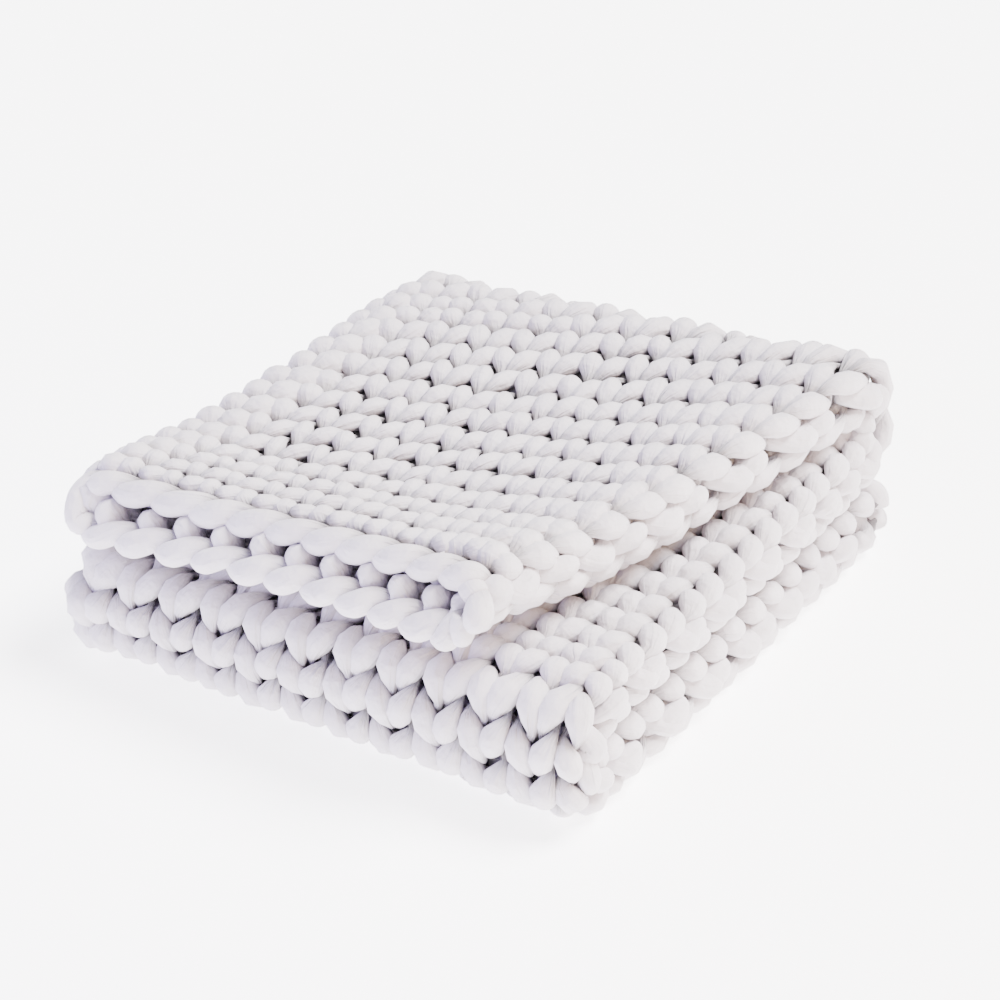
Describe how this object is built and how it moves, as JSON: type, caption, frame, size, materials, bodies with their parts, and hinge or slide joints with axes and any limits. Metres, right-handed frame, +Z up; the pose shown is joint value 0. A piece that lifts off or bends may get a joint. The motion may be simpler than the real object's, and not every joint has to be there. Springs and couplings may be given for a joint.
{
  "type": "weighted blanket",
  "caption": "Chunky knitted weighted blanket in off-white stuffed cotton tube yarn, folded in half and then back and forth into a flat pack for a bed, sofa or shelf.",
  "frame": {"origin": "on the surface the pack rests on, under the middle of its bounding box", "axes": "+X across the pack towards its open side edges, +Y from the open front end to the back fold, +Z up"},
  "size_m": [0.608, 0.655, 0.2587],
  "materials": {
    "cotton_jersey_yarn": "matt cotton jersey tube, stuffed, hand knitted"
  },
  "bodies": {
    "root": {"knit_blanket": "cotton_jersey_yarn"}
  },
  "joints": []
}
